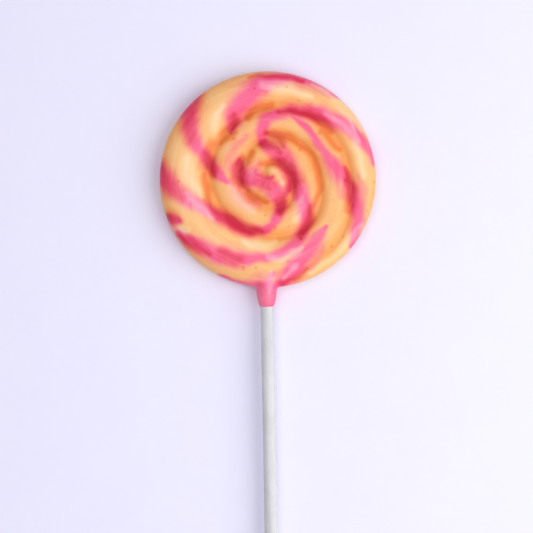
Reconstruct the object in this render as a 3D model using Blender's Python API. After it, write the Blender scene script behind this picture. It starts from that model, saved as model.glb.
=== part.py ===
"""Swirl lollipop, lying on its back.

A flat round of boiled sugar, coiled from one thick rope and pressed, with a collar of the same
sugar run down over a rolled paper stick. Two solids: "candy" (the round and its collar, with a
blind hole for the stick) and "stick".

Frame: metres, +Z up. The origin is the middle of the round's flat back, where it rests.
+Y runs from the stick towards the top of the round, and the front faces +Z.
"""

import math

import bmesh
import bpy
from mathutils import Matrix, Vector

# The round
ROUND_RADIUS = 0.0350
HALF_THICKNESS = 0.0046      # before the back is pressed flat
PRESSED_FLAT = 0.0002        # what pressing takes off the back
RIM_POWER = 10.0             # the higher, the flatter the faces and the tighter the rim
MIDDLE_Z = HALF_THICKNESS - PRESSED_FLAT

# The rope's turns: the groove between them runs inwards as the bearing grows
GROOVE_START = math.radians(258.0)       # bearing where it leaves the rim
GROOVE_END = math.radians(1270.0)        # bearing, counted on over the turns, where it dies out
GROOVE_REFERENCE = math.radians(290.0)   # bearing at which GROOVE_RADIUS is measured
GROOVE_RADIUS = 0.0270
GROOVE_PITCH = 0.0098                    # one turn brings it in by this much
TAIL_FLARE = 0.0022                      # the rope's outer end is thinner by this much
TAIL_FLARE_TURNS = 0.10
CORE_RADIUS = 0.0034                     # the rope's inner end closes on an eye of this size
# Hand-laid turns aren't even: (waves in one turn, height, bearing of a crest)
GROOVE_WAVES = (
    (1, 0.00210, math.radians(-6.0)),
    (2, 0.00053, math.radians(117.0)),
    (3, 0.00065, math.radians(66.0)),
)
GROOVE_FADE = math.radians(55.0)         # the groove deepens and dies out over this much turn
FRONT_GROOVE_DEPTH = 0.0016
BACK_GROOVE_DEPTH = 0.0008
GROOVE_REACH = 0.0025                    # how far from its line the groove's sides flatten out
GROOVE_SOFTNESS = 0.0004                 # rounding at its bottom
BACK_SPOT_RADIUS = 0.0060                # smooth flat spot in the middle of the back

# The stick: its line passes a little left of the round's middle and leans a little
STICK_RADIUS = 0.00215
STICK_LENGTH = 0.150
STICK_TOP_Y = 0.008
STICK_MIDDLE_X = -0.00105
STICK_LEAN = math.radians(1.05)
STICK_CHAMFER = 0.0002
STICK_SIDES = 24
STICK_GAP = 0.0003                       # clearance round the stick and past its end

# The collar, turned about the stick's line
COLLAR_LENGTH = 0.0064                   # beyond the rim
COLLAR_ROOT_RADIUS = 0.0036
COLLAR_TIP_RADIUS = 0.0028
COLLAR_REACH = 0.0060                    # how far it runs up into the round
COLLAR_FLARE = 0.0004                    # spread where it meets the rim
COLLAR_FLARE_LENGTH = 0.0006
COLLAR_SIDES = 24
COLLAR_RINGS_OUT = 8
COLLAR_RINGS_IN = 5

# Mesh
SEGMENTS = 80
FRONT_RING_STEP = 0.00140
BACK_RING_STEP = 0.00190
RIM_ANGLES = tuple(math.radians(a) for a in (24.0, 37.0, 52.0, 70.0))


def smoothstep(low, high, value):
    t = min(max((value - low) / (high - low), 0.0), 1.0)
    return t * t * (3.0 - 2.0 * t)


def groove_radius(bearing):
    """Distance of the groove from the middle, for a bearing counted on over the turns."""
    turns = (bearing - GROOVE_REFERENCE) / math.tau
    radius = GROOVE_RADIUS - GROOVE_PITCH * turns
    radius += TAIL_FLARE * math.exp(-turns / TAIL_FLARE_TURNS)
    for waves, height, crest in GROOVE_WAVES:
        radius += height * math.cos(waves * (bearing - crest))
    return math.hypot(max(radius, 0.0), CORE_RADIUS)


def groove_strength(bearing):
    """0 at both ends of the groove and 1 between them."""
    grow = smoothstep(GROOVE_START, GROOVE_START + GROOVE_FADE, bearing)
    die = smoothstep(GROOVE_END - GROOVE_FADE, GROOVE_END, bearing)
    return grow * (1.0 - die)


def grooves_at(bearing):
    """(radius, strength) of each pass of the groove across one bearing."""
    found = []
    total = bearing
    while total < GROOVE_END:
        if total > GROOVE_START:
            found.append((groove_radius(total), groove_strength(total)))
        total += math.tau
    return found


def groove_cut(radius, grooves):
    """How deep the grooves are at this radius, as a share of their full depth."""
    cut = 0.0
    for line, strength in grooves:
        away = math.hypot(radius - line, GROOVE_SOFTNESS) - GROOVE_SOFTNESS
        cut += strength * math.exp(-away / GROOVE_REACH)
    return min(cut, 1.0)


def rim_share(radius):
    """The round's thickness at this radius, as a share of its full thickness."""
    return math.sqrt(max(1.0 - (radius / ROUND_RADIUS) ** RIM_POWER, 0.0))


def front_height(radius, grooves):
    share = rim_share(radius)
    return MIDDLE_Z + share * (HALF_THICKNESS - FRONT_GROOVE_DEPTH * groove_cut(radius, grooves))


def back_height(radius, grooves):
    share = rim_share(radius)
    spot = smoothstep(BACK_SPOT_RADIUS * 0.8, BACK_SPOT_RADIUS * 1.4, radius)
    depth = BACK_GROOVE_DEPTH * spot * groove_cut(radius, grooves)
    return max(MIDDLE_Z - share * (HALF_THICKNESS - depth), 0.0)


def ring_radii(step):
    """Even rings over the flat of the face, then rings that follow the rim's bend."""
    rim = [ROUND_RADIUS * math.sin(angle) ** (2.0 / RIM_POWER) for angle in RIM_ANGLES]
    flat = rim[0] - 0.6 * step
    count = round(flat / step)
    return [flat * (i + 1) / count for i in range(count)] + rim


def snapped(radius, gap, grooves):
    """Move a ring's point onto a groove that passes close by, so that its line stays crisp."""
    for line, strength in grooves:
        if strength > 0.0 and abs(radius - line) < 0.499 * gap:
            return line
    return radius


def add_face_rings(mesh, radii, height):
    """Rings of points for one face, innermost first, at the heights that height() gives."""
    steps = [outer - inner for inner, outer in zip([0.0] + radii, radii + [ROUND_RADIUS])]
    gaps = [min(pair) for pair in zip(steps, steps[1:])]
    rings = [[] for _ in radii]
    for i in range(SEGMENTS):
        bearing = math.tau * i / SEGMENTS
        grooves = grooves_at(bearing)
        for ring, radius, gap in zip(rings, radii, gaps):
            r = snapped(radius, gap, grooves)
            ring.append(mesh.verts.new((r * math.cos(bearing), r * math.sin(bearing), height(r, grooves))))
    return rings


def join_rings(mesh, inner, outer, facing_up):
    """Fill between two rings. Each square is split along the way that the groove runs."""
    for i in range(SEGMENTS):
        k = (i + 1) % SEGMENTS
        for corners in ((inner[i], outer[i], inner[k]), (inner[k], outer[i], outer[k])):
            mesh.faces.new(corners if facing_up else corners[::-1])


def close_middle(mesh, middle, ring, facing_up):
    for i in range(SEGMENTS):
        corners = (middle, ring[i], ring[(i + 1) % SEGMENTS])
        mesh.faces.new(corners if facing_up else corners[::-1])


def finish_mesh(bm, name):
    mesh = bpy.data.meshes.new(name)
    bm.to_mesh(mesh)
    bm.free()
    return mesh


def round_mesh():
    """The pressed coil: a front and a back face that meet at the rim."""
    bm = bmesh.new()
    rim = []
    for i in range(SEGMENTS):
        bearing = math.tau * i / SEGMENTS
        rim.append(bm.verts.new((ROUND_RADIUS * math.cos(bearing), ROUND_RADIUS * math.sin(bearing), MIDDLE_Z)))
    for step, height, facing_up in (
        (FRONT_RING_STEP, front_height, True),
        (BACK_RING_STEP, back_height, False),
    ):
        rings = add_face_rings(bm, ring_radii(step), height)
        middle = bm.verts.new((0.0, 0.0, height(0.0, grooves_at(0.0))))
        close_middle(bm, middle, rings[0], facing_up)
        for inner, outer in zip(rings, rings[1:] + [rim]):
            join_rings(bm, inner, outer, facing_up)
    return finish_mesh(bm, "round")


def stick_frame(distance):
    """Placement of a shape turned about its own +Z, which runs down the stick.

    distance is how far below the round's middle its zero lies.
    """
    down = Vector((math.sin(STICK_LEAN), -math.cos(STICK_LEAN), 0.0))
    origin = Vector((STICK_MIDDLE_X, 0.0, MIDDLE_Z)) + down * distance
    up = Vector((0.0, 0.0, 1.0))
    turn = Matrix((up.cross(down), up, down)).transposed()
    return Matrix.Translation(origin) @ turn.to_4x4()


def turned_mesh(name, profile, sides):
    """A closed solid turned about +Z from (height, radius) pairs, listed upwards."""
    bm = bmesh.new()
    rings = []
    for height, radius in profile:
        ring = []
        for i in range(sides):
            angle = math.tau * i / sides
            ring.append(bm.verts.new((radius * math.cos(angle), radius * math.sin(angle), height)))
        rings.append(ring)
    for low, high in zip(rings, rings[1:]):
        for i in range(sides):
            k = (i + 1) % sides
            bm.faces.new((low[i], low[k], high[k], high[i]))
    bm.faces.new(rings[0][::-1])
    bm.faces.new(rings[-1])
    return finish_mesh(bm, name)


def collar_profile():
    """(distance below the rim, radius), from the blunt end inside the round to the thin tip."""
    profile = []
    for i in range(COLLAR_RINGS_IN):
        share = math.cos(math.pi / 2.0 * (i + 0.5) / COLLAR_RINGS_IN)
        profile.append((-COLLAR_REACH * share, COLLAR_ROOT_RADIUS * math.sqrt(1.0 - share * share)))
    for i in range(COLLAR_RINGS_OUT + 1):
        share = i / COLLAR_RINGS_OUT
        along = COLLAR_LENGTH * share
        radius = COLLAR_TIP_RADIUS + (COLLAR_ROOT_RADIUS - COLLAR_TIP_RADIUS) * (1.0 - share * share)
        profile.append((along, radius + COLLAR_FLARE * math.exp(-along / COLLAR_FLARE_LENGTH)))
    return profile


def stick_profile():
    return [
        (0.0, STICK_RADIUS - STICK_CHAMFER),
        (STICK_CHAMFER, STICK_RADIUS),
        (STICK_LENGTH - STICK_CHAMFER, STICK_RADIUS),
        (STICK_LENGTH, STICK_RADIUS - STICK_CHAMFER),
    ]


def bore_profile():
    """The hole for the stick, long enough to come out through the collar's tip."""
    reach = ROUND_RADIUS + COLLAR_LENGTH + STICK_TOP_Y + 0.005
    radius = STICK_RADIUS + STICK_GAP
    return [(0.0, radius), (reach, radius)]


def material(name, colour, roughness):
    mat = bpy.data.materials.new(name)
    mat.use_nodes = True
    shader = mat.node_tree.nodes["Principled BSDF"]
    shader.inputs["Base Color"].default_value = (*colour, 1.0)
    shader.inputs["Roughness"].default_value = roughness
    shader.inputs["Metallic"].default_value = 0.0
    return mat


def add_object(name, mesh, mat=None, smooth_angle=math.radians(40.0)):
    obj = bpy.data.objects.new(name, mesh)
    bpy.context.collection.objects.link(obj)
    if mat is not None:
        mesh.materials.append(mat)
    mesh.shade_smooth()
    mesh.set_sharp_from_angle(angle=smooth_angle)
    return obj


def add_tool(name, mesh, distance):
    """A hidden shape that a Boolean reads."""
    obj = add_object(name, mesh)
    obj.matrix_world = stick_frame(distance)
    obj.hide_render = True
    obj.display_type = "WIRE"
    return obj


def boolean(obj, tool, operation):
    modifier = obj.modifiers.new(tool.name, "BOOLEAN")
    modifier.object = tool
    modifier.operation = operation
    modifier.solver = "EXACT"


def add_candy():
    sugar = material("candy_sugar", (0.90, 0.42, 0.33), 0.35)
    candy = add_object("candy", round_mesh(), sugar)
    collar = add_tool("collar_shape", turned_mesh("collar", collar_profile(), COLLAR_SIDES), ROUND_RADIUS)
    bore = add_tool("bore_shape", turned_mesh("bore", bore_profile(), STICK_SIDES), -STICK_TOP_Y - STICK_GAP)
    boolean(candy, collar, "UNION")
    boolean(candy, bore, "DIFFERENCE")


def add_stick():
    paper = material("stick_paper", (0.88, 0.88, 0.86), 0.75)
    stick = add_object("stick", turned_mesh("stick", stick_profile(), STICK_SIDES), paper)
    stick.matrix_world = stick_frame(-STICK_TOP_Y)


def main():
    for obj in list(bpy.data.objects):
        bpy.data.objects.remove(obj, do_unlink=True)
    add_candy()
    add_stick()


main()
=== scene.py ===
import math

import bmesh
import bpy
import numpy as np
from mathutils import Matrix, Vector


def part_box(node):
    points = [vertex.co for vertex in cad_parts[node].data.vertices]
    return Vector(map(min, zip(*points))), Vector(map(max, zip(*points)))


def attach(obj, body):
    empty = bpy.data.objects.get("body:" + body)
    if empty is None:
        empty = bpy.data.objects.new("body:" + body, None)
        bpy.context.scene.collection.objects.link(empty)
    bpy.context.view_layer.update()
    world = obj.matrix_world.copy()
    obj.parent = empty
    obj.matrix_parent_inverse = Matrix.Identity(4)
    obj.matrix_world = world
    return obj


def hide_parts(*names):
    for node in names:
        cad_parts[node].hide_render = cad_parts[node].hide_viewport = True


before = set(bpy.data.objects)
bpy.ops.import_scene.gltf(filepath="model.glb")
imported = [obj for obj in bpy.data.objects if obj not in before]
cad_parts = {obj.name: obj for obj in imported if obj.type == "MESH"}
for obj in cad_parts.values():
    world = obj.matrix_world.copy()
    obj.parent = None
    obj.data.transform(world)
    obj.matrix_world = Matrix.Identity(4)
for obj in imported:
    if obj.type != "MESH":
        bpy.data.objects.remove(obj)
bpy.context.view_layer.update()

# Swirl lollipop: a coiled sugar candy on a rolled paper stick, seen from straight above.
# Metres throughout, in the frame's own axes.

candyLow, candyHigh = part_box("candy")
stickLow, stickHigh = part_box("stick")
roundRadius = (candyHigh.x - candyLow.x) / 2
middleZ = (stickLow.z + stickHigh.z) / 2
print("frame loaded, round of", round(roundRadius * 2000, 1), "mm")


class Wire:
    # a value in a node tree: sums and products of wires become Math nodes
    def __init__(self, tree, socket):
        self.tree = tree
        self.socket = socket

    def math(self, operation, *others):
        node = self.tree.nodes.new("ShaderNodeMath")
        node.operation = operation
        for slot, value in zip(node.inputs, (self, *others)):
            plug(self.tree, value, slot)
        return Wire(self.tree, node.outputs[0])

    def __add__(self, other):
        return self.math("ADD", other)

    def __radd__(self, other):
        return self.math("ADD", other)

    def __sub__(self, other):
        return self.math("SUBTRACT", other)

    def __rsub__(self, other):
        return wire(self.tree, other).math("SUBTRACT", self)

    def __mul__(self, other):
        return self.math("MULTIPLY", other)

    def __rmul__(self, other):
        return self.math("MULTIPLY", other)

    def __truediv__(self, other):
        return self.math("DIVIDE", other)

    def __neg__(self):
        return self.math("MULTIPLY", -1.0)

    def __pow__(self, other):
        return self.math("POWER", other)

    def clamped(self):
        result = self.math("ADD", 0.0)
        result.socket.node.use_clamp = True
        return result

    def step(self, low, high):
        # smooth step from 0 at low to 1 at high
        node = self.tree.nodes.new("ShaderNodeMapRange")
        node.interpolation_type = "SMOOTHSTEP"
        plug(self.tree, self, node.inputs["Value"])
        plug(self.tree, low, node.inputs["From Min"])
        plug(self.tree, high, node.inputs["From Max"])
        return Wire(self.tree, node.outputs["Result"])


def wire(tree, number):
    node = tree.nodes.new("ShaderNodeValue")
    node.outputs[0].default_value = number
    return Wire(tree, node.outputs[0])


def plug(tree, value, slot):
    # a wire is linked, anything else is set on the socket itself
    if isinstance(value, Wire):
        tree.links.new(value.socket, slot)
    else:
        slot.default_value = value


def hypotenuse(a, b):
    return (a * a + b * b) ** 0.5


# the candy: first the named inputs of its node tree
candySizes = {
    "Round Radius": roundRadius,
    "Half Thickness": middleZ + 0.0002,   # the back is pressed 0.2 mm flat
    "Middle Height": middleZ,
    "Front Groove Depth": 0.0018,
    "Back Groove Depth": 0.0010,
    "Groove Reach": 0.0028,
    "Collar Length": abs(candyLow.y) - roundRadius,
    "Collar Root Radius": 0.0033,
    "Collar Tip Radius": 0.0022,
}
# how its sugar is rounded off and run together
candyForm = {
    "rimPower": 10.0,           # higher is squarer at the rim
    "coilDistance": 0.0027,     # turns the coil's field into near enough a distance
    "sideBlend": 0.0005,        # half the height over which front grooves give way to back ones
    "collarDraw": 2.2,          # how late the collar draws in
    "collarReach": 0.0045,      # how far it runs into the round
    "rootSlope": 0.7,           # how steeply it ends in there
    "rootRounding": 0.003,
    "joinRounding": 0.0016,
    "tipRounding": 0.0012,
    "fieldDepth": 0.003,        # the field fades from solid to empty over this
    "margin": 0.0015,           # empty space kept round the candy
    "voxel": 0.00036,
}
# the line of the groove, round from +X and inwards
grooveLine = {
    "start": math.radians(258),     # bearing where the groove leaves the rim
    "end": math.radians(1240),      # and dies out, counted on over the turns
    "fade": math.radians(55),       # it deepens and dies out over this
    "reference": math.radians(290),
    "radius": 0.0270,               # at the reference bearing
    "pitch": 0.0098,                # inwards with each turn
    "flare": 0.0022,                # outwards at its start
    "flareTurns": 0.10,
    "core": 0.0034,                 # it comes no nearer to the middle
    "softness": 0.0002,             # rounds the bottom of the cut
    "waves": (                      # waves round the candy, height, bearing of a crest
        (1, 0.00210, math.radians(-6)),
        (2, 0.00053, math.radians(117)),
        (3, 0.00065, math.radians(66)),
    ),
}
# where the stick's line passes the middle of the round, and how far it leans
stickAxis = {"x": -0.00105, "lean": math.radians(1.05)}


def grooveGroup():
    # one pass of the groove: how deep it cuts at a radius, 0 to 1
    tree = bpy.data.node_groups.new("groovePass", "GeometryNodeTree")
    for name in ("Bearing", "Radius", "Reach"):
        tree.interface.new_socket(name, in_out="INPUT", socket_type="NodeSocketFloat")
    tree.interface.new_socket("Cut", in_out="OUTPUT", socket_type="NodeSocketFloat")
    source = tree.nodes.new("NodeGroupInput")
    bearing, radius, reach = (Wire(tree, source.outputs[name]) for name in ("Bearing", "Radius", "Reach"))
    groove = grooveLine
    turns = (bearing - groove["reference"]) / math.tau
    flare = groove["flare"] * (-turns / groove["flareTurns"]).math("EXPONENT")
    line = groove["radius"] - groove["pitch"] * turns + flare
    for waves, height, crest in groove["waves"]:
        line = line + height * ((bearing - crest) * waves).math("COSINE")
    line = hypotenuse(line.math("MAXIMUM", 0.0), groove["core"])
    strength = bearing.step(groove["start"], groove["start"] + groove["fade"])
    strength = strength * (1.0 - bearing.step(groove["end"] - groove["fade"], groove["end"]))
    away = hypotenuse(radius - line, groove["softness"]) - groove["softness"]
    cut = strength * (-away / reach).math("EXPONENT")
    sink = tree.nodes.new("NodeGroupOutput")
    plug(tree, cut, sink.inputs["Cut"])
    return tree


def candyTree(material):
    # the candy as a solid field: the pressed coil and the collar, run together softly
    tree = bpy.data.node_groups.new("candyShape", "GeometryNodeTree")
    face = tree.interface
    face.new_socket("Geometry", in_out="INPUT", socket_type="NodeSocketGeometry")
    for name, value in candySizes.items():
        face.new_socket(name, in_out="INPUT", socket_type="NodeSocketFloat").default_value = value
    face.new_socket("Geometry", in_out="OUTPUT", socket_type="NodeSocketGeometry")
    source = tree.nodes.new("NodeGroupInput")
    size = {name: Wire(tree, source.outputs[name]) for name in candySizes}
    form = candyForm
    place = tree.nodes.new("GeometryNodeInputPosition")
    split = tree.nodes.new("ShaderNodeSeparateXYZ")
    tree.links.new(place.outputs[0], split.inputs[0])
    x, y, z = (Wire(tree, out) for out in split.outputs)

    radius = hypotenuse(x, y)
    bearing = y.math("ARCTAN2", x)
    bearing = bearing.math("WRAP", math.tau, 0.0)
    group = grooveGroup()
    cut = None
    for turn in range(math.ceil(grooveLine["end"] / math.tau)):
        node = tree.nodes.new("GeometryNodeGroup")
        node.node_tree = group
        plug(tree, bearing + math.tau * turn, node.inputs["Bearing"])
        plug(tree, radius, node.inputs["Radius"])
        plug(tree, size["Groove Reach"], node.inputs["Reach"])
        one = Wire(tree, node.outputs["Cut"])
        cut = one if cut is None else cut + one
    cut = cut.math("MINIMUM", 1.0)

    # the pressed coil
    height = z - size["Middle Height"]
    front = height.step(-form["sideBlend"], form["sideBlend"])
    depth = size["Back Groove Depth"] + (size["Front Groove Depth"] - size["Back Groove Depth"]) * front
    half = size["Half Thickness"] - depth * cut
    coil = 1.0 - (radius / size["Round Radius"]) ** form["rimPower"] - (height / half) * (height / half)
    coil = coil * form["coilDistance"]
    # the collar, turned about the stick's line
    lean = stickAxis["lean"]
    along = (x - stickAxis["x"]) * math.sin(lean) - y * math.cos(lean) - size["Round Radius"]
    across = (x - stickAxis["x"]) * math.cos(lean) + y * math.sin(lean)
    outside = (along.math("MAXIMUM", 0.0) / size["Collar Length"]).clamped()
    # drawn in steadily, then rounded over onto the stick like a drip
    slim = outside ** form["collarDraw"]
    root = size["Collar Root Radius"]
    collar = root - (root - size["Collar Tip Radius"]) * slim - hypotenuse(across, height)
    collar = collar.math("SMOOTH_MIN", size["Collar Length"] - along, form["tipRounding"])
    innerEnd = (along + form["collarReach"]) * form["rootSlope"]
    collar = collar.math("SMOOTH_MIN", innerEnd, form["rootRounding"])
    solid = coil.math("SMOOTH_MAX", collar, form["joinRounding"])
    solid = solid.math("MINIMUM", z)      # pressed flat underneath
    density = (solid / form["fieldDepth"] + 0.5).clamped()

    cube = tree.nodes.new("GeometryNodeVolumeCube")
    margin = form["margin"]
    low = Vector((-roundRadius - margin, candyLow.y - margin, -margin))
    high = Vector((roundRadius + margin, roundRadius + margin, candyHigh.z + margin))
    plug(tree, density, cube.inputs["Density"])
    cube.inputs["Min"].default_value = low
    cube.inputs["Max"].default_value = high
    for axis, name in enumerate(("Resolution X", "Resolution Y", "Resolution Z")):
        cube.inputs[name].default_value = round((high[axis] - low[axis]) / form["voxel"])
    skin = tree.nodes.new("GeometryNodeVolumeToMesh")
    skin.inputs["Threshold"].default_value = 0.5     # where the field crosses zero
    tree.links.new(cube.outputs["Volume"], skin.inputs["Volume"])
    keep = tree.nodes.new("GeometryNodeStoreNamedAttribute")
    keep.data_type = "FLOAT"
    keep.domain = "POINT"
    keep.inputs["Name"].default_value = "groove"
    tree.links.new(skin.outputs["Mesh"], keep.inputs["Geometry"])
    plug(tree, cut, keep.inputs["Value"])
    smooth = tree.nodes.new("GeometryNodeSetShadeSmooth")
    tree.links.new(keep.outputs["Geometry"], smooth.inputs["Geometry"])
    real = tree.nodes.new("GeometryNodeRealizeInstances")
    tree.links.new(smooth.outputs["Geometry"], real.inputs["Geometry"])
    paint = tree.nodes.new("GeometryNodeSetMaterial")
    paint.inputs["Material"].default_value = material
    tree.links.new(real.outputs["Geometry"], paint.inputs["Geometry"])
    sink = tree.nodes.new("NodeGroupOutput")
    tree.links.new(paint.outputs["Geometry"], sink.inputs["Geometry"])
    return tree


def grown(name, tree, sizes):
    # runs a node tree on an empty mesh and keeps the result as a plain mesh
    seed = bpy.data.objects.new(name + "Seed", bpy.data.meshes.new(name + "Seed"))
    bpy.context.collection.objects.link(seed)
    modifier = seed.modifiers.new("shape", "NODES")
    modifier.node_group = tree
    for item in tree.interface.items_tree:
        if item.in_out == "INPUT" and item.name in sizes:
            modifier[item.identifier] = sizes[item.name]
    depsgraph = bpy.context.evaluated_depsgraph_get()
    mesh = bpy.data.meshes.new_from_object(seed.evaluated_get(depsgraph), depsgraph=depsgraph)
    mesh.name = name
    bpy.data.objects.remove(seed, do_unlink=True)
    piece = bpy.data.objects.new(name, mesh)
    bpy.context.collection.objects.link(piece)
    return piece


# each stop is a bearing in degrees, a share of the round's radius, and a half width as a share of it
pinkPaths = {
    "upperLeft": ((132, 1.04, 0.085), (138, 0.96, 0.088), (146, 0.865, 0.077), (153, 0.757, 0.068),
                  (159, 0.645, 0.06), (165, 0.555, 0.06), (171, 0.48, 0.05), (178, 0.42, 0.04),
                  (186, 0.375, 0.025)),
    "crown": ((48, 1.0, 0.015), (60, 0.99, 0.03), (75, 0.965, 0.04), (86, 0.925, 0.065),
              (94, 0.865, 0.09), (103, 0.785, 0.10), (113, 0.71, 0.09), (120, 0.635, 0.075),
              (125, 0.58, 0.047), (129, 0.54, 0.016)),
    "heart": ((146, 0.325, 0.018), (153, 0.295, 0.045), (165, 0.26, 0.075), (176, 0.21, 0.085),
              (180, 0.13, 0.08), (225, 0.06, 0.07), (290, 0.08, 0.075), (299, 0.15, 0.075),
              (300, 0.22, 0.065), (295, 0.285, 0.06), (287, 0.335, 0.05), (280, 0.38, 0.045),
              (273, 0.435, 0.042), (264, 0.485, 0.045), (252, 0.505, 0.055), (238, 0.515, 0.06),
              (226, 0.535, 0.06), (216, 0.57, 0.06), (208, 0.62, 0.06), (202, 0.67, 0.06),
              (196, 0.74, 0.065), (190, 0.82, 0.07), (183, 0.91, 0.09), (176, 1.02, 0.10)),
    "eye": ((20, 0.05, 0.02), (330, 0.01, 0.035), (220, 0.03, 0.05), (235, 0.06, 0.06)),
    "eyeLink": ((350, 0.235, 0.05), (336, 0.21, 0.05), (322, 0.20, 0.045), (309, 0.21, 0.05)),
    "leftDot": ((201, 0.995, 0.04), (203.5, 0.945, 0.05), (205, 0.905, 0.03)),
    "hook": ((9, 1.0, 0.04), (18, 0.965, 0.05), (29, 0.89, 0.06), (38, 0.838, 0.07), (46, 0.785, 0.075),
             (54, 0.735, 0.075), (62, 0.695, 0.065), (71, 0.65, 0.06), (81, 0.60, 0.055),
             (90, 0.56, 0.05), (94, 0.51, 0.055), (97, 0.45, 0.055), (98, 0.39, 0.05), (95, 0.33, 0.047),
             (85, 0.275, 0.065), (64, 0.24, 0.075), (42, 0.22, 0.08), (20, 0.225, 0.08), (0, 0.245, 0.08),
             (345, 0.28, 0.08), (332, 0.355, 0.07), (323, 0.43, 0.07), (315, 0.495, 0.065),
             (309, 0.55, 0.06), (302, 0.60, 0.06), (295, 0.64, 0.055), (287, 0.67, 0.05),
             (279, 0.695, 0.045), (270, 0.717, 0.04), (262, 0.737, 0.045), (254, 0.762, 0.065),
             (246, 0.80, 0.08), (236, 0.83, 0.078), (226, 0.88, 0.07), (218, 0.92, 0.055),
             (212, 0.945, 0.035)),
    "collarFan": ((276, 0.985, 0.06), (281, 0.93, 0.075), (288, 0.845, 0.083), (297, 0.77, 0.08),
                  (306, 0.725, 0.063), (312, 0.71, 0.05), (317, 0.703, 0.032), (321, 0.695, 0.015)),
    "collarFoot": ((270, 1.03, 0.06), (270, 0.97, 0.05), (271, 0.91, 0.035), (273, 0.86, 0.015)),
    "bottomRim": ((242, 0.995, 0.012), (252, 0.99, 0.022), (262, 0.985, 0.03), (270, 0.995, 0.05),
                  (280, 0.995, 0.03)),
    "right": ((321, 0.985, 0.022), (327, 0.96, 0.045), (335, 0.91, 0.055), (343, 0.85, 0.06),
              (350, 0.79, 0.065), (357, 0.735, 0.06), (4, 0.68, 0.06), (12, 0.625, 0.055),
              (20, 0.588, 0.045), (30, 0.567, 0.037), (42, 0.567, 0.03), (55, 0.595, 0.03),
              (68, 0.615, 0.025)),
}
# where the sugar's colour is deep, and where shade is painted in along the grooves and round the upper and
# left rim
deepColourAndShadePaths = {
    "upperRim": ((130, 0.99, 0.045), (137, 0.93, 0.06), (147, 0.87, 0.06), (154, 0.79, 0.033)),
    "leftRim": ((174, 0.99, 0.055), (180, 0.935, 0.065), (187, 0.87, 0.055), (192, 0.80, 0.028)),
    "leftDot": ((201, 0.97, 0.045), (203, 0.93, 0.045)),
    "upperGroove": ((158, 0.62, 0.022), (164, 0.575, 0.052), (169, 0.54, 0.052), (175, 0.50, 0.025)),
    "crownRim": ((100, 0.955, 0.014), (92, 0.945, 0.018), (82, 0.95, 0.018), (70, 0.965, 0.014)),
    "crownFoot": ((117, 0.66, 0.02), (121, 0.61, 0.035), (125, 0.56, 0.02)),
    "innerLeft": ((140, 0.31, 0.02), (151, 0.285, 0.04), (165, 0.26, 0.05), (182, 0.25, 0.045),
                  (196, 0.235, 0.025)),
    "lowerLeft": ((199, 0.60, 0.018), (207, 0.57, 0.03), (216, 0.55, 0.038), (228, 0.53, 0.045),
                  (241, 0.515, 0.04), (253, 0.50, 0.035), (264, 0.495, 0.02)),
    "underEye": ((330, 0.205, 0.02), (317, 0.21, 0.042), (306, 0.235, 0.046), (297, 0.285, 0.04),
                 (290, 0.34, 0.02)),
    "eye": ((30, 0.035, 0.045), (225, 0.03, 0.07), (250, 0.075, 0.045), (280, 0.09, 0.015)),
    "besideEye": ((118, 0.14, 0.02), (92, 0.15, 0.03), (65, 0.16, 0.035), (42, 0.185, 0.05),
                  (20, 0.22, 0.055), (0, 0.25, 0.06), (346, 0.25, 0.055), (334, 0.23, 0.045),
                  (324, 0.21, 0.03)),
    "overEye": ((99, 0.30, 0.025), (88, 0.305, 0.035), (76, 0.30, 0.03), (66, 0.27, 0.02)),
    "overEyeTop": ((92, 0.43, 0.02), (80, 0.41, 0.03), (70, 0.37, 0.03), (62, 0.33, 0.015)),
    "amberPatch": ((145, 0.225, 0.012), (133, 0.25, 0.025), (120, 0.28, 0.018)),
    "hookTop": ((80, 0.62, 0.015), (70, 0.65, 0.02), (61, 0.69, 0.02), (53, 0.70, 0.03),
                (45, 0.71, 0.035), (38, 0.72, 0.025)),
    "hookFoot": ((328, 0.46, 0.015), (321, 0.50, 0.03), (315, 0.54, 0.04), (308, 0.57, 0.035),
                 (300, 0.61, 0.025)),
    "right": ((8, 0.72, 0.012), (2, 0.745, 0.02), (355, 0.76, 0.036), (348, 0.77, 0.035),
              (338, 0.79, 0.02)),
    "lowerBlot": ((213, 0.95, 0.03), (222, 0.915, 0.04), (232, 0.875, 0.02)),
    "midBlot": ((236, 0.80, 0.025), (244, 0.80, 0.045), (251, 0.785, 0.035)),
    "collarEdge": ((278, 0.97, 0.022), (286, 0.94, 0.02), (294, 0.90, 0.01)),
    "amberLeft": ((130, 0.59, 0.02), (139, 0.60, 0.032), (148, 0.602, 0.032), (155, 0.60, 0.018)),
    "amberInner": ((124, 0.52, 0.015), (132, 0.52, 0.028), (142, 0.53, 0.018)),
    "leftGroove": ((176, 0.58, 0.02), (187, 0.58, 0.028), (197, 0.578, 0.028), (205, 0.575, 0.02)),
    "amberRing": ((86, 0.42, 0.015), (72, 0.42, 0.025), (55, 0.43, 0.025), (35, 0.455, 0.024),
                  (10, 0.472, 0.022), (345, 0.485, 0.02), (328, 0.495, 0.012)),
    "amberRight": ((42, 0.655, 0.02), (32, 0.67, 0.025), (22, 0.71, 0.02)),
    "amberCrown": ((108, 0.59, 0.02), (100, 0.65, 0.03), (88, 0.68, 0.025)),
    "amberUnder": ((207, 0.215, 0.02), (222, 0.22, 0.03), (238, 0.21, 0.035), (254, 0.20, 0.03),
                   (268, 0.205, 0.02)),
}
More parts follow.
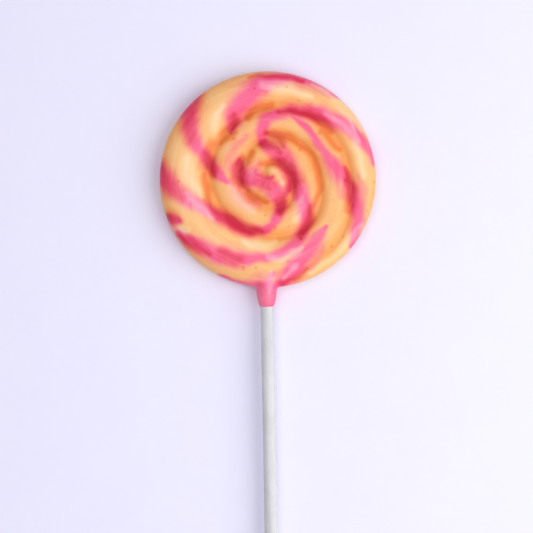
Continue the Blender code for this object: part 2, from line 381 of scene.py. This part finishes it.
# where the sugar is pale, and where highlights are painted on the crests and the lit rims
paleAndHighlightPaths = {
    "crown": ((93, 0.86, 0.025), (84, 0.85, 0.04), (74, 0.845, 0.03), (62, 0.85, 0.015)),
    "rightRim": ((36, 0.94, 0.015), (12, 0.86, 0.025), (2, 0.88, 0.02)),
    "lowerRight": ((334, 0.955, 0.018), (326, 0.935, 0.026), (316, 0.935, 0.028), (303, 0.938, 0.024),
                   (294, 0.955, 0.015)),
    "upperRightRim": ((64, 0.97, 0.018), (53, 0.965, 0.03), (41, 0.96, 0.03), (28, 0.965, 0.018)),
    "left": ((166, 0.77, 0.03), (176, 0.73, 0.045), (186, 0.68, 0.035), (195, 0.62, 0.02)),
    "innerLeft": ((190, 0.36, 0.02), (203, 0.335, 0.035), (218, 0.32, 0.04), (233, 0.315, 0.04),
                  (247, 0.33, 0.02)),
    "bottom": ((249, 0.61, 0.02), (259, 0.625, 0.026), (268, 0.61, 0.026), (276, 0.58, 0.02)),
    "hookFoot": ((350, 0.315, 0.02), (341, 0.32, 0.03), (331, 0.345, 0.03), (322, 0.385, 0.035),
                 (312, 0.43, 0.035), (302, 0.455, 0.02)),
    "eye": ((138, 0.09, 0.016), (105, 0.088, 0.023), (70, 0.092, 0.026), (35, 0.105, 0.026),
            (5, 0.125, 0.024), (345, 0.135, 0.015)),
    "hookTop": ((48, 0.80, 0.015), (40, 0.83, 0.02), (30, 0.87, 0.025), (22, 0.90, 0.015)),
    "lowerLeft": ((190, 0.76, 0.02), (197, 0.71, 0.03), (206, 0.66, 0.03), (214, 0.63, 0.02)),
    "besideFan": ((270, 0.71, 0.015), (279, 0.74, 0.03), (287, 0.73, 0.03), (296, 0.70, 0.015)),
    "collarFan": ((279, 0.93, 0.012), (284, 0.88, 0.018), (290, 0.83, 0.012)),
    "collarFoot": ((272, 0.85, 0.015), (271, 0.92, 0.03), (271, 0.98, 0.03), (271, 1.05, 0.015)),
    "upperLeft": ((122, 0.78, 0.015), (132, 0.72, 0.03), (141, 0.62, 0.025)),
    "palePatch": ((208, 0.99, 0.02), (210, 0.93, 0.032), (213, 0.87, 0.018)),
}
# where a thin wash of pink lies over the yellow
blushPaths = {
    "innerLeft": ((186, 0.33, 0.03), (202, 0.31, 0.045), (220, 0.285, 0.055), (236, 0.27, 0.05),
                  (252, 0.26, 0.025)),
    "salmon": ((118, 0.44, 0.03), (134, 0.415, 0.04), (150, 0.39, 0.04), (166, 0.37, 0.03)),
    "overEye": ((90, 0.42, 0.02), (78, 0.40, 0.035), (68, 0.36, 0.035), (56, 0.32, 0.02)),
    "besideEye": ((165, 0.15, 0.03), (142, 0.16, 0.035), (118, 0.17, 0.02)),
    "crown": ((88, 0.88, 0.02), (78, 0.905, 0.035), (66, 0.925, 0.03), (54, 0.95, 0.02)),
    "collarFoot": ((258, 0.96, 0.02), (266, 0.92, 0.04), (274, 0.89, 0.03), (282, 0.86, 0.02)),
    "leftRim": ((203, 0.99, 0.02), (208, 0.97, 0.035), (214, 0.95, 0.025)),
    "right": ((22, 0.53, 0.018), (8, 0.575, 0.03), (356, 0.635, 0.03), (346, 0.70, 0.018)),
    "rightEdge": ((2, 0.84, 0.015), (354, 0.87, 0.03), (345, 0.89, 0.03), (336, 0.93, 0.015)),
    "besideFan": ((309, 0.81, 0.012), (302, 0.87, 0.022), (295, 0.92, 0.015)),
}
paintSizes = {
    "stepsBetweenStops": 14,
    "thinnest": 0.004,              # no half width is less
    "pinkReach": (0.35, 1.75),      # full inside the first, gone outside the second, in half widths
    "softReach": (0.0, 2.6),        # the same for the other paths
    "blush": 0.45,
    "halo": 0.2,                    # a faint edge of pink round each band
    "haloReach": 2.0,
    "collarStart": (0.985, 1.02),   # from here down the collar turns all pink
    "collarMilk": 0.5,
    "wobble": ((0.006, 23.0, 0.4), (0.004, 41.0, 2.1)),     # height, waves and start of each ripple
    "backTwist": 2.4,               # the bands lean the other way on the back
}


def smoothPath(stops):
    # an even curve through the stops, as rows of x, y and half width in shares of the radius
    knots = []
    for bearing, share, width in stops:
        turned = math.radians(bearing)
        knots.append((share * math.cos(turned), share * math.sin(turned), width))
    knots = np.array(knots)
    knots = np.vstack([2 * knots[0] - knots[1], knots, 2 * knots[-1] - knots[-2]])
    steps = paintSizes["stepsBetweenStops"]
    rows = []
    for i in range(1, len(knots) - 2):
        before, here, there, after = knots[i - 1:i + 3]
        for t in np.arange(steps) / steps:
            rows.append(0.5 * (2 * here + (there - before) * t
                               + (2 * before - 5 * here + 4 * there - after) * t ** 2
                               + (3 * here - before - 3 * there + after) * t ** 3))
    rows.append(knots[-2])
    return np.array(rows)


def smoothStep(low, high, value):
    t = np.clip((value - low) / (high - low), 0, 1)
    return t * t * (3 - 2 * t)


def brushed(x, y, paths, reach, halo=0.0):
    # how strongly the paths colour each point, 0 to 1
    total = np.zeros(len(x), np.float32)
    for stops in paths.values():
        nearest = np.full(len(x), np.inf, np.float32)
        for px, py, width in smoothPath(stops):
            away = np.hypot(x - px, y - py) / max(width, paintSizes["thinnest"])
            nearest = np.minimum(nearest, away)
        total = np.maximum(total, 1 - smoothStep(reach[0], reach[1], nearest))
        total = np.maximum(total, halo * np.clip(paintSizes["haloReach"] - nearest, 0, 1))
    return total


def paintSugar(piece):
    # stores how pink each point of the candy is, how deep its colour is with painted shade, and how pale
    # with painted highlight
    mesh = piece.data
    place = np.empty(len(mesh.vertices) * 3, np.float32)
    mesh.vertices.foreach_get("co", place)
    x, y, z = place.reshape(-1, 3).T
    x = x / roundRadius
    y = y / roundRadius
    radius = np.hypot(x, y)
    onBack = (z < middleZ) & (radius < 1)
    bearing = np.arctan2(y, x) + onBack * paintSizes["backTwist"] * (1 - radius)
    x = radius * np.cos(bearing)
    y = radius * np.sin(bearing)
    # a slight wobble keeps the bands' edges from looking drawn
    wobbleX = sum(high * np.sin(waves * y + start) for high, waves, start in paintSizes["wobble"])
    wobbleY = sum(high * np.sin(waves * x + start) for high, waves, start in paintSizes["wobble"])
    x = x + wobbleX
    y = y + wobbleY
    soft = paintSizes["softReach"]
    pink = brushed(x, y, pinkPaths, paintSizes["pinkReach"], paintSizes["halo"])
    pink = pink + (1 - pink) * brushed(x, y, blushPaths, soft) * paintSizes["blush"]
    # deeper sugar colour, with painted shade along grooves and round the upper and left rim
    deepColourAndShade = brushed(x, y, deepColourAndShadePaths, soft)
    # paler sugar, with painted highlights on the crests and the lit rims
    paleAndHighlight = brushed(x, y, paleAndHighlightPaths, soft)
    collar = smoothStep(*paintSizes["collarStart"], -y)
    pink = np.maximum(pink, collar)
    paleAndHighlight = np.maximum(paleAndHighlight, collar * paintSizes["collarMilk"])
    for name, values in (("pink", pink), ("deepColourAndShade", deepColourAndShade), ("paleAndHighlight", paleAndHighlight)):
        mesh.attributes.new(name, "FLOAT", "POINT").data.foreach_set("value", values.astype(np.float32))


def newMaterial(name):
    material = bpy.data.materials.new(name)
    material.use_nodes = True
    tree = material.node_tree
    return material, tree, tree.nodes["Principled BSDF"]


def attribute(tree, name):
    node = tree.nodes.new("ShaderNodeAttribute")
    node.attribute_name = name
    return Wire(tree, node.outputs["Fac"])


def linear(r, g, b):
    # screen colour 0 to 255 to the linear value a socket takes
    def one(v):
        v = v / 255
        return v / 12.92 if v <= 0.04045 else ((v + 0.055) / 1.055) ** 2.4
    return (one(r), one(g), one(b), 1.0)


def mixed(tree, share, first, second):
    node = tree.nodes.new("ShaderNodeMix")
    node.data_type = "RGBA"
    plug(tree, share, node.inputs["Factor"])
    plug(tree, first, node.inputs[6])
    plug(tree, second, node.inputs[7])
    return Wire(tree, node.outputs[2])


def noise(tree, vector, scale, detail, roughness):
    node = tree.nodes.new("ShaderNodeTexNoise")
    plug(tree, scale, node.inputs["Scale"])
    node.inputs["Detail"].default_value = detail
    node.inputs["Roughness"].default_value = roughness
    tree.links.new(vector, node.inputs["Vector"])
    return Wire(tree, node.outputs["Fac"])


def ramp(tree, share, *stops):
    node = tree.nodes.new("ShaderNodeValToRGB")
    elements = node.color_ramp.elements
    while len(elements) < len(stops):
        elements.new(0.5)
    for element, (position, colour) in zip(elements, stops):
        element.position = position
        element.color = linear(*colour)
    plug(tree, share, node.inputs["Fac"])
    return Wire(tree, node.outputs["Color"])


def combined(tree, x, y, z):
    node = tree.nodes.new("ShaderNodeCombineXYZ")
    for value, slot in zip((x, y, z), node.inputs):
        plug(tree, value, slot)
    return node.outputs[0]


grainSizes = {
    "coarseDetail": 3.0,
    "coarseRoughness": 0.55,
    "finer": 6.0,           # how many times finer the second noise is
    "fineDetail": 2.0,
    "fineRoughness": 0.5,
}


def grainGroup():
    # soft mottling with finer grain over it, for sugar, paper and floor alike
    tree = bpy.data.node_groups.new("surfaceGrain", "ShaderNodeTree")
    face = tree.interface
    face.new_socket("Place", in_out="INPUT", socket_type="NodeSocketVector")
    face.new_socket("Scale", in_out="INPUT", socket_type="NodeSocketFloat").default_value = 200.0
    face.new_socket("Fine Share", in_out="INPUT", socket_type="NodeSocketFloat").default_value = 0.3
    face.new_socket("Grain", in_out="OUTPUT", socket_type="NodeSocketFloat")
    source = tree.nodes.new("NodeGroupInput")
    place = source.outputs["Place"]
    scale = Wire(tree, source.outputs["Scale"])
    fineShare = Wire(tree, source.outputs["Fine Share"])
    coarse = noise(tree, place, scale, grainSizes["coarseDetail"], grainSizes["coarseRoughness"])
    fine = noise(tree, place, scale * grainSizes["finer"], grainSizes["fineDetail"],
                 grainSizes["fineRoughness"])
    sink = tree.nodes.new("NodeGroupOutput")
    plug(tree, coarse + (fine - coarse) * fineShare, sink.inputs["Grain"])
    return tree


surfaceGrain = grainGroup()


def grain(tree, place, scale, fineShare):
    node = tree.nodes.new("ShaderNodeGroup")
    node.node_tree = surfaceGrain
    tree.links.new(place, node.inputs["Place"])
    node.inputs["Scale"].default_value = scale
    node.inputs["Fine Share"].default_value = fineShare
    return Wire(tree, node.outputs["Grain"])


def objectPlace(tree):
    place = tree.nodes.new("ShaderNodeTexCoord").outputs["Object"]
    split = tree.nodes.new("ShaderNodeSeparateXYZ")
    tree.links.new(place, split.inputs[0])
    return place, [Wire(tree, out) for out in split.outputs]


def bumped(tree, shader, height, strength, distance):
    bump = tree.nodes.new("ShaderNodeBump")
    bump.inputs["Strength"].default_value = strength
    bump.inputs["Distance"].default_value = distance
    plug(tree, height, bump.inputs["Height"])
    tree.links.new(bump.outputs["Normal"], shader.inputs["Normal"])


sugarFinish = {
    # colours from pale to deep: paler sugar and painted highlight at the start, deeper sugar and painted
    # shade at the end
    "creamRamp": (
        (0.0, (251, 214, 164)), (0.3, (250, 194, 126)), (0.65, (246, 160, 82)), (1.0, (234, 120, 46)),
    ),
    "roseRamp": (
        (0.0, (252, 160, 182)), (0.3, (248, 102, 146)), (0.65, (240, 66, 108)), (1.0, (206, 22, 52)),
    ),
    # how far along the ramps each effect moves the colour; groove and rim add painted shade
    "depth": {
        "plain": 0.33, "groove": 0.31, "rim": 0.14, "deepColourAndShade": 0.42, "paleAndHighlight": -0.30, "streak": 0.4,
        "cloud": 0.25, "speck": 0.3,
    },
    "grooveShade": (0.08, 1.0),         # share of the full cut
    "rimShade": (0.90, 1.0),            # share of the round's radius
    "collarMatt": (0.97, 1.03),
    "streaks": {"across": 260.0, "scale": 2.2, "detail": 3.0, "roughness": 0.6, "outermost": 0.985},
    "clouds": {"scale": 140.0, "fineShare": 0.15},
    "bubbles": {"scale": 280.0, "size": (0.05, 0.2), "chance": (0.55, 0.6)},
    "feather": {"streak": 0.5, "fadeIn": (0.0, 0.3), "cloud": 0.35},
    "roughness": {"plain": 0.36, "groove": 0.28, "collar": 0.16},    # the last two add to the first
    "glow": {"weight": 0.25, "redGreenBlue": (1.0, 0.5, 0.3), "depth": 0.0015},
    "bump": {"cloud": 0.7, "streak": 0.3, "speck": -0.5, "strength": 0.3, "distance": 0.0004},
}


def bubbles(tree, place, sizes):
    # a few small bubbles under the skin: one in the middle of some of the cells
    cells = tree.nodes.new("ShaderNodeTexVoronoi")
    cells.inputs["Scale"].default_value = sizes["scale"]
    tree.links.new(place, cells.inputs["Vector"])
    pick = tree.nodes.new("ShaderNodeSeparateColor")
    tree.links.new(cells.outputs["Color"], pick.inputs[0])
    near = 1.0 - Wire(tree, cells.outputs["Distance"]).step(*sizes["size"])
    return near * Wire(tree, pick.outputs[0]).step(*sizes["chance"])


def sugarMaterial():
    material, tree, shader = newMaterial("boiledSugar")
    finish = sugarFinish
    place, (x, y, _) = objectPlace(tree)
    radius = hypotenuse(x, y)
    # pulled streaks run along the rope: fine across it, long along it
    pulled = finish["streaks"]
    inside = radius.math("MINIMUM", roundRadius * pulled["outermost"])
    around = combined(tree, x / radius, y / radius, inside * pulled["across"])
    streaks = noise(tree, around, pulled["scale"], pulled["detail"], pulled["roughness"])
    cloud = grain(tree, place, finish["clouds"]["scale"], finish["clouds"]["fineShare"])
    specks = bubbles(tree, place, finish["bubbles"])

    # painted shade: the groove cut darkens the sugar colour in the creases
    groove = attribute(tree, "groove").step(*finish["grooveShade"])
    # painted shade: the colour deepens over the outermost tenth of the round, at its rounded edge
    rimStart, rimEnd = finish["rimShade"]
    rim = radius.step(roundRadius * rimStart, roundRadius * rimEnd)
    share = finish["depth"]
    # the colour's place on the ramps: deeper sugar colour and painted shade move it on, paler sugar and
    # painted highlights move it back
    depth = share["plain"] + groove * share["groove"] + rim * share["rim"]
    depth = depth + attribute(tree, "deepColourAndShade") * share["deepColourAndShade"] + attribute(tree, "paleAndHighlight") * share["paleAndHighlight"]
    depth = depth + (streaks - 0.5) * share["streak"] + (cloud - 0.5) * share["cloud"]
    depth = (depth + specks * share["speck"]).clamped()
    # the bands' edges feather along the streaks
    feather = finish["feather"]
    pink = attribute(tree, "pink")
    ragged = (streaks - 0.5) * feather["streak"] * pink.step(*feather["fadeIn"])
    pink = (pink + ragged + (cloud - 0.5) * feather["cloud"] * pink).clamped()
    cream = ramp(tree, depth, *finish["creamRamp"])
    rose = ramp(tree, depth, *finish["roseRamp"])
    plug(tree, mixed(tree, pink, cream, rose), shader.inputs["Base Color"])

    rough = finish["roughness"]
    collarStart, collarEnd = finish["collarMatt"]
    onCollar = (-y).step(roundRadius * collarStart, roundRadius * collarEnd)
    plug(tree, rough["plain"] + groove * rough["groove"] + onCollar * rough["collar"],
         shader.inputs["Roughness"])
    glow = finish["glow"]
    shader.inputs["Subsurface Weight"].default_value = glow["weight"]
    shader.inputs["Subsurface Radius"].default_value = glow["redGreenBlue"]
    shader.inputs["Subsurface Scale"].default_value = glow["depth"]
    bump = finish["bump"]
    height = cloud * bump["cloud"] + streaks * bump["streak"] + specks * bump["speck"]
    bumped(tree, shader, height, bump["strength"], bump["distance"])
    return material


paperFinish = {
    "light": (218, 218, 217),
    "dark": (204, 204, 203),
    "toneSpan": (0.35, 0.65),
    "fibres": {"scale": 900.0, "fineShare": 0.4, "stretch": 0.08, "share": 0.6},
    "blotches": {"scale": 160.0, "fineShare": 0.1},
    "roughness": 0.72,
    "roughnessSpread": 0.2,
    "bumpStrength": 0.25,
    "bumpDistance": 0.0001,
}


def paperMaterial():
    material, tree, shader = newMaterial("rolledPaper")
    finish = paperFinish
    place, (x, y, z) = objectPlace(tree)
    # fibres lie along the stick
    fibre = finish["fibres"]
    fibres = grain(tree, combined(tree, x, y * fibre["stretch"], z), fibre["scale"], fibre["fineShare"])
    blotches = grain(tree, place, finish["blotches"]["scale"], finish["blotches"]["fineShare"])
    tone = (fibres * fibre["share"] + blotches * (1 - fibre["share"])).step(*finish["toneSpan"])
    plug(tree, mixed(tree, tone, linear(*finish["dark"]), linear(*finish["light"])),
         shader.inputs["Base Color"])
    plug(tree, finish["roughness"] + (fibres - 0.5) * finish["roughnessSpread"], shader.inputs["Roughness"])
    bumped(tree, shader, fibres, finish["bumpStrength"], finish["bumpDistance"])
    return material


stickSizes = {
    "radius": (stickHigh.z - stickLow.z) / 2,
    "paper": 0.00012,         # the sheet's thickness, which shows as a step along its outer edge
    "seamBearing": math.radians(215),
    "chamfer": 0.0002,
    "sides": 64,
    "bands": 30,              # along the stick
    "unevenness": 0.00003,    # hand-rolled, so not quite round and straight
    "unevenWaves": 3,         # round the stick
    "unevenTwist": 90,        # radians of twist to the metre
    "rollTurns": 5,           # seen on the end
    "rollRings": 25,
    "rollDepth": 0.00010,
    "hiddenEndShare": 0.1,    # the end inside the candy closes flat from this share of the radius
    "sharpAngle": math.radians(40),
    "weldDistance": 1e-7,
}


def rolledStick():
    # a tight roll of paper: its section is one turn of a spiral, and the roll shows on the end
    size = stickSizes
    lean = stickAxis["lean"]
    down = Vector((math.sin(lean), -math.cos(lean), 0))
    side = Vector((math.cos(lean), math.sin(lean), 0))
    up = Vector((0, 0, 1))
    top = stickHigh.y - size["radius"] * math.sin(lean)
    length = (top - stickLow.y - size["radius"] * math.sin(lean)) / math.cos(lean)
    start = Vector((stickAxis["x"] - math.tan(lean) * top, top, middleZ))
    sides = size["sides"]

    def ring(along, radius, dip=0.0, turns=0.0):
        points = []
        fullness = min(1.0, radius / size["radius"])
        for i in range(sides + 1):
            turned = i / sides
            bearing = size["seamBearing"] + math.tau * turned
            wave = math.sin(size["unevenWaves"] * bearing + along * size["unevenTwist"])
            away = radius + (size["unevenness"] * wave - size["paper"] * turned) * fullness
            groove = (0.5 + 0.5 * math.cos(math.tau * (turns + turned))) ** 3
            points.append(start + down * (along - dip * groove)
                          + side * (away * math.cos(bearing)) + up * (away * math.sin(bearing)))
        return points

    radius = size["radius"]
    rings = [ring(0, radius * size["hiddenEndShare"]), ring(0, radius - size["chamfer"])]
    for i in range(size["bands"] + 1):
        share = i / size["bands"]
        rings.append(ring(size["chamfer"] + (length - 2 * size["chamfer"]) * share, radius))
    for i in range(size["rollRings"]):
        share = 1 - i / size["rollRings"]
        rings.append(ring(length, (radius - size["chamfer"]) * share, size["rollDepth"] if i else 0.0,
                          size["rollTurns"] * share))
    mesh = bmesh.new()
    rows = [[mesh.verts.new(point) for point in points] for points in rings]
    for first, second in zip(rows, rows[1:]):
        for i in range(sides):
            mesh.faces.new((first[i], first[i + 1], second[i + 1], second[i]))
        mesh.faces.new((first[sides], first[0], second[0], second[sides]))   # the sheet's edge
    mesh.faces.new(reversed(rows[0]))
    mesh.faces.new(rows[-1])
    bmesh.ops.remove_doubles(mesh, verts=mesh.verts, dist=size["weldDistance"])
    bmesh.ops.recalc_face_normals(mesh, faces=mesh.faces)
    data = bpy.data.meshes.new("rolledStick")
    mesh.to_mesh(data)
    mesh.free()
    data.shade_smooth()
    data.set_sharp_from_angle(angle=size["sharpAngle"])
    piece = bpy.data.objects.new("rolledStick", data)
    bpy.context.collection.objects.link(piece)
    return piece


sugar = sugarMaterial()
candy = grown("candySwirl", candyTree(sugar), candySizes)
print("candy grown,", len(candy.data.polygons), "faces")
paintSugar(candy)
print("sugar coloured")
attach(candy, "root")
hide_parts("candy")

stick = rolledStick()
stick.data.materials.append(paperMaterial())
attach(stick, "root")
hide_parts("stick")
print("stick rolled,", len(stick.data.polygons), "faces")

floorFinish = {
    "light": (239, 237, 252),
    "dark": (234, 232, 249),
    "mottling": {"scale": 60.0, "fineShare": 0.3},
    "roughness": 0.9,
    "reach": 2.0,
}


def floorMaterial():
    material, tree, shader = newMaterial("paleFloor")
    place, _ = objectPlace(tree)
    tone = grain(tree, place, floorFinish["mottling"]["scale"], floorFinish["mottling"]["fineShare"])
    plug(tree, mixed(tree, tone, linear(*floorFinish["dark"]), linear(*floorFinish["light"])),
         shader.inputs["Base Color"])
    shader.inputs["Roughness"].default_value = floorFinish["roughness"]
    return material


reach = floorFinish["reach"]
corners = [(x * reach, y * reach, 0) for x, y in ((-1, -1), (1, -1), (1, 1), (-1, 1))]
floorMesh = bpy.data.meshes.new("floor")
floorMesh.from_pydata(corners, [], [(0, 1, 2, 3)])
floorMesh.materials.append(floorMaterial())
floor = bpy.data.objects.new("floor", floorMesh)
bpy.context.collection.objects.link(floor)
print("floor laid")

# soft light from the lower right, with a little from overhead
lights = {
    "keyLight": {"place": (0.46, -0.14, 0.44), "width": 0.75, "power": 3.45},
    "overheadLight": {"place": (-0.15, 0.05, 0.80), "width": 0.60, "power": 1.9},
}
room = {"colour": (240, 240, 255), "strength": 0.42}

for name, setting in lights.items():
    light = bpy.data.lights.new(name, "AREA")
    light.shape = "DISK"
    light.size = setting["width"]
    light.energy = setting["power"]
    lamp = bpy.data.objects.new(name, light)
    bpy.context.collection.objects.link(lamp)
    lamp.location = setting["place"]
    lamp.rotation_euler = (-Vector(setting["place"])).to_track_quat("-Z", "Y").to_euler()

world = bpy.data.worlds.new("softRoom")
world.use_nodes = True
background = world.node_tree.nodes["Background"]
background.inputs["Color"].default_value = linear(*room["colour"])
background.inputs["Strength"].default_value = room["strength"]
bpy.context.scene.world = world
bpy.context.scene.view_settings.view_transform = "Standard"   # sugar colours stay as mixed
print("lights set")

# straight above, with the stick running out of the picture
view = {
    "span": 0.1727,                   # across the picture at the candy's middle
    "lens": 85.0,
    "aim": Vector((-0.0004, -0.0282, middleZ)),
}
cameraData = bpy.data.cameras.new("camera")
cameraData.lens = view["lens"]
camera = bpy.data.objects.new("camera", cameraData)
bpy.context.collection.objects.link(camera)
camera.location = view["aim"] + Vector((0, 0, view["span"] * view["lens"] / cameraData.sensor_width))
bpy.context.scene.camera = camera
print("camera above the candy")
